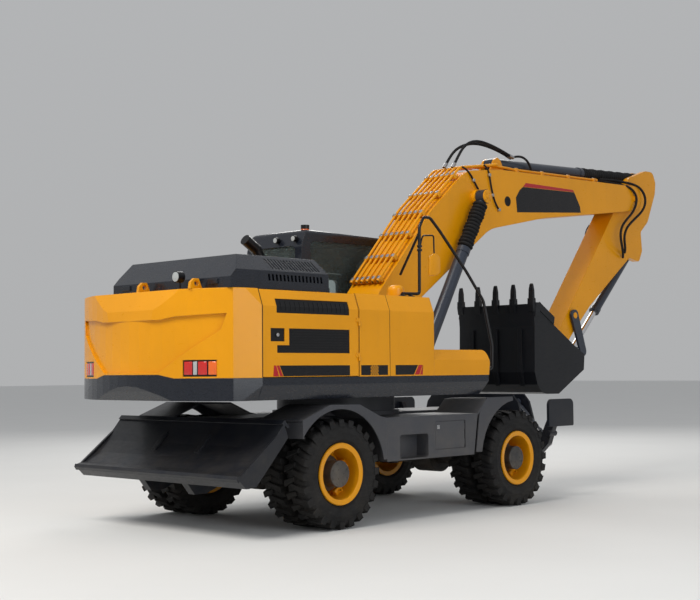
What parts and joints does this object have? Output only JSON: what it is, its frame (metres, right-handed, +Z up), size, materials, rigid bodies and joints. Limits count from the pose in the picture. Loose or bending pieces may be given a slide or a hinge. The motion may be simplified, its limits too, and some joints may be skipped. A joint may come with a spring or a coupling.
{
  "type": "wheeled excavator",
  "caption": "Wheeled hydraulic excavator with a one-piece boom, curled digging bucket, twin tyres, rear dozer blade and folding front outriggers",
  "frame": {"origin": "on the ground under the middle of the overall length and width, as stored", "axes": "+X forwards along the machine to the arm's side, +Y to the machine's left, +Z up"},
  "size_m": [9.0784, 2.538, 4.3191],
  "materials": {
    "machine_yellow": "satin",
    "house_dark": "satin",
    "undercarriage_grey": "dusty",
    "axle_black": "dusty",
    "cylinder_blue_grey": "satin",
    "rod_chrome": "polished",
    "pin_steel": "brushed",
    "tyre_rubber": "worn, dusty",
    "engine_iron": "oily",
    "cab_glazing": "clear, lightly tinted",
    "seat_fabric": "woven",
    "rail_black": "satin",
    "bucket_grey": "worn"
  },
  "bodies": {
    "chassis": {"chassis_frame": "undercarriage_grey", "side_boxes": "undercarriage_grey", "rear_fenders": "undercarriage_grey", "front_fenders": "undercarriage_grey", "rear_axle": "axle_black", "front_axle": "axle_black", "drivetrain": "axle_black", "outrigger_frame": "undercarriage_grey"},
    "locker_door": {"locker_door": "undercarriage_grey"},
    "knuckle_right": {"knuckle_right": "axle_black"},
    "knuckle_left": {"knuckle_left": "axle_black"},
    "tie_rod": {"steering_rod": "pin_steel"},
    "wheel_front_right": {"tyres_front_right": "tyre_rubber", "rims_front_right": "machine_yellow"},
    "wheel_front_left": {"tyres_front_left": "tyre_rubber", "rims_front_left": "machine_yellow"},
    "wheel_rear_right": {"tyres_rear_right": "tyre_rubber", "rims_rear_right": "machine_yellow"},
    "wheel_rear_left": {"tyres_rear_left": "tyre_rubber", "rims_rear_left": "machine_yellow"},
    "blade": {"blade": "undercarriage_grey"},
    "blade_barrels": {"blade_barrels": "cylinder_blue_grey"},
    "blade_rods": {"blade_rods": "rod_chrome"},
    "leg_right": {"leg_right": "undercarriage_grey"},
    "leg_left": {"leg_left": "undercarriage_grey"},
    "leg_barrel_right": {"leg_barrel_right": "cylinder_blue_grey"},
    "leg_barrel_left": {"leg_barrel_left": "cylinder_blue_grey"},
    "leg_rod_right": {"leg_rod_right": "rod_chrome"},
    "leg_rod_left": {"leg_rod_left": "rod_chrome"},
    "house": {"upper_frame": "house_dark", "skirts": "house_dark", "counterweight": "machine_yellow", "engine_block": "engine_iron", "right_tanks": "machine_yellow", "tool_box": "machine_yellow", "left_cabinet": "machine_yellow", "centre_cover": "house_dark", "cab_shell": "house_dark", "cab_glass": "cab_glazing", "cab_seat": "seat_fabric", "handrail": "rail_black", "exhaust": "rail_black", "lamps": "rail_black"},
    "hood": {"hood": "house_dark"},
    "engine_door": {"engine_door_right": "machine_yellow", "door_grilles": "rail_black"},
    "cabinet_door": {"cabinet_door_left": "machine_yellow"},
    "cab_door": {"cab_door": "house_dark"},
    "boom": {"boom": "machine_yellow", "boom_pipes": "machine_yellow"},
    "boom_barrels": {"boom_barrels": "cylinder_blue_grey"},
    "boom_rods": {"boom_rods": "rod_chrome"},
    "arm_barrel": {"arm_barrel": "cylinder_blue_grey"},
    "arm_rod": {"arm_rod": "rod_chrome"},
    "arm": {"arm": "machine_yellow"},
    "bucket_barrel": {"bucket_barrel": "cylinder_blue_grey"},
    "bucket_rod": {"bucket_rod": "rod_chrome"},
    "bucket_lever": {"bucket_lever": "cylinder_blue_grey"},
    "bucket_link": {"bucket_link": "cylinder_blue_grey"},
    "bucket": {"bucket": "bucket_grey"}
  },
  "joints": [
    {"name": "steer_right", "type": "hinge", "parent": "chassis", "child": "knuckle_right", "pos_m": [-0.15, -0.62, 0.527], "axis": [0, 0, 1], "range_deg": [-25, 25]},
    {"name": "wheel_front_right", "type": "hinge", "parent": "knuckle_right", "child": "wheel_front_right", "pos_m": [-0.15, -0.97, 0.527], "axis": [0, 1, 0], "continuous": true},
    {"name": "wheel_rear_right", "type": "hinge", "parent": "chassis", "child": "wheel_rear_right", "pos_m": [-2.95, -0.97, 0.527], "axis": [0, 1, 0], "continuous": true},
    {"name": "steer_left", "type": "hinge", "parent": "chassis", "child": "knuckle_left", "pos_m": [-0.15, 0.62, 0.527], "axis": [0, 0, 1], "range_deg": [-25, 25]},
    {"name": "wheel_front_left", "type": "hinge", "parent": "knuckle_left", "child": "wheel_front_left", "pos_m": [-0.15, 0.97, 0.527], "axis": [0, 1, 0], "continuous": true},
    {"name": "wheel_rear_left", "type": "hinge", "parent": "chassis", "child": "wheel_rear_left", "pos_m": [-2.95, 0.97, 0.527], "axis": [0, 1, 0], "continuous": true},
    {"name": "tie_rod", "type": "slide", "parent": "chassis", "child": "tie_rod", "axis": [0, -1, 0], "range_m": [-0.1119, 0.1119]},
    {"name": "blade_lift", "type": "hinge", "parent": "chassis", "child": "blade", "pos_m": [-3.43, 0, 0.6], "axis": [0, -1, 0], "range_deg": [0, 44]},
    {"name": "blade_cylinder", "type": "hinge", "parent": "chassis", "child": "blade_barrels", "pos_m": [-3.54, 0, 0.96], "axis": [0, -1, 0], "range_deg": [-0.5, 25.29]},
    {"name": "blade_stroke", "type": "slide", "parent": "blade_barrels", "child": "blade_rods", "axis": [-0.6958, 0, -0.7182], "range_m": [-0.003, 0.2318]},
    {"name": "leg_right", "type": "hinge", "parent": "chassis", "child": "leg_right", "pos_m": [0.705, -0.8, 0.45], "axis": [1, 0, 0], "range_deg": [0, 90]},
    {"name": "leg_cylinder_right", "type": "hinge", "parent": "chassis", "child": "leg_barrel_right", "pos_m": [0.783, -0.56, 1.11], "axis": [1, 0, 0], "range_deg": [-0.5, 16.3]},
    {"name": "leg_stroke_right", "type": "slide", "parent": "leg_barrel_right", "child": "leg_rod_right", "axis": [0, -0.6916, -0.7223], "range_m": [-0.003, 0.3631]},
    {"name": "leg_left", "type": "hinge", "parent": "chassis", "child": "leg_left", "pos_m": [0.705, 0.8, 0.45], "axis": [-1, 0, 0], "range_deg": [0, 90]},
    {"name": "leg_cylinder_left", "type": "hinge", "parent": "chassis", "child": "leg_barrel_left", "pos_m": [0.783, 0.56, 1.11], "axis": [-1, 0, 0], "range_deg": [-0.5, 16.3]},
    {"name": "leg_stroke_left", "type": "slide", "parent": "leg_barrel_left", "child": "leg_rod_left", "axis": [0, 0.6916, -0.7223], "range_m": [-0.003, 0.3631]},
    {"name": "locker_lid", "type": "hinge", "parent": "chassis", "child": "locker_door", "pos_m": [-1.081, -1.241, 0.832], "axis": [0, 0, 1], "range_deg": [0, 110]},
    {"name": "swing", "type": "hinge", "parent": "chassis", "child": "house", "pos_m": [-1.75, 0, 1.255], "axis": [0, 0, 1], "continuous": true},
    {"name": "engine_door", "type": "hinge", "parent": "house", "child": "engine_door", "pos_m": [-2.696, -1.259, 1.855], "axis": [0, 0, 1], "range_deg": [0, 100]},
    {"name": "cabinet_door", "type": "hinge", "parent": "house", "child": "cabinet_door", "pos_m": [-2.724, 1.259, 1.8], "axis": [0, 0, -1], "range_deg": [0, 100]},
    {"name": "hood_lid", "type": "hinge", "parent": "house", "child": "hood", "pos_m": [-2.988, -0.1, 2.272], "axis": [0, 1, 0], "range_deg": [0, 50]},
    {"name": "cab_door", "type": "hinge", "parent": "house", "child": "cab_door", "pos_m": [-1.727, 1.249, 2.25], "axis": [0, 0, 1], "range_deg": [0, 110]},
    {"name": "boom_lift", "type": "hinge", "parent": "house", "child": "boom", "pos_m": [-1.56, -0.15, 1.865], "axis": [0, -1, 0], "range_deg": [-3, 35]},
    {"name": "boom_cylinders", "type": "hinge", "parent": "house", "child": "boom_barrels", "pos_m": [-1, -0.15, 1.45], "axis": [0, -1, 0], "range_deg": [-3.49, 35.34]},
    {"name": "boom_stroke", "type": "slide", "parent": "boom_barrels", "child": "boom_rods", "axis": [0.5094, 0, 0.8606], "range_m": [-0.0377, 0.4084]},
    {"name": "arm_swing", "type": "hinge", "parent": "boom", "child": "arm", "pos_m": [3.835, -0.15, 3.872], "axis": [0, 1, 0], "range_deg": [-100, 3]},
    {"name": "arm_cylinder", "type": "hinge", "parent": "boom", "child": "arm_barrel", "pos_m": [0.89, -0.15, 4.05], "axis": [0, 1, 0], "range_deg": [-8.24, 0.73]},
    {"name": "arm_stroke", "type": "slide", "parent": "arm_barrel", "child": "arm_rod", "axis": [0.9989, 0, 0.0476], "range_m": [-0.9878, 0.0325]},
    {"name": "bucket_curl", "type": "hinge", "parent": "arm", "child": "bucket", "pos_m": [2.09814, -0.15, 1.84414], "axis": [0, 1, 0], "range_deg": [-100, 20]},
    {"name": "bucket_cylinder", "type": "hinge", "parent": "arm", "child": "bucket_barrel", "pos_m": [4.03919, -0.15, 3.13885], "axis": [0, 1, 0], "range_deg": [-1.01, 3.06]},
    {"name": "bucket_stroke", "type": "slide", "parent": "bucket_barrel", "child": "bucket_rod", "axis": [-0.7275, 0, -0.6861], "range_m": [-0.6309, 0.1286]},
    {"name": "lever_turn", "type": "hinge", "parent": "arm", "child": "bucket_lever", "pos_m": [2.37101, -0.15, 2.20424], "axis": [0, 1, 0], "range_deg": [-74.77, 15.35]},
    {"name": "link_turn", "type": "hinge", "parent": "bucket", "child": "bucket_link", "pos_m": [2.09112, -0.15, 1.467], "axis": [0, 1, 0], "range_deg": [-17.49, 85.47]}
  ],
  "couplings": [
    {"joint": "steer_left", "follows": "steer_right", "ratio": 1},
    {"joint": "tie_rod", "follows": "steer_right", "m_per_rad": 0.2422},
    {"joint": "blade_cylinder", "follows": "blade_lift", "ratio": 0.5633},
    {"joint": "blade_stroke", "follows": "blade_lift", "m_per_rad": 0.2892},
    {"joint": "leg_cylinder_right", "follows": "leg_right", "ratio": 0.1756},
    {"joint": "leg_stroke_right", "follows": "leg_right", "m_per_rad": 0.2226},
    {"joint": "leg_cylinder_left", "follows": "leg_left", "ratio": 0.1756},
    {"joint": "leg_stroke_left", "follows": "leg_left", "m_per_rad": 0.2226},
    {"joint": "boom_cylinders", "follows": "boom_lift", "ratio": 0.9955},
    {"joint": "boom_stroke", "follows": "boom_lift", "m_per_rad": 0.6443},
    {"joint": "arm_cylinder", "follows": "arm_swing", "ratio": 0.0774},
    {"joint": "arm_stroke", "follows": "arm_swing", "m_per_rad": 0.5478},
    {"joint": "bucket_cylinder", "follows": "bucket_curl", "ratio": -0.0256},
    {"joint": "bucket_stroke", "follows": "bucket_curl", "m_per_rad": 0.3493},
    {"joint": "lever_turn", "follows": "bucket_curl", "ratio": 0.7427},
    {"joint": "link_turn", "follows": "bucket_curl", "ratio": -0.8497}
  ]
}
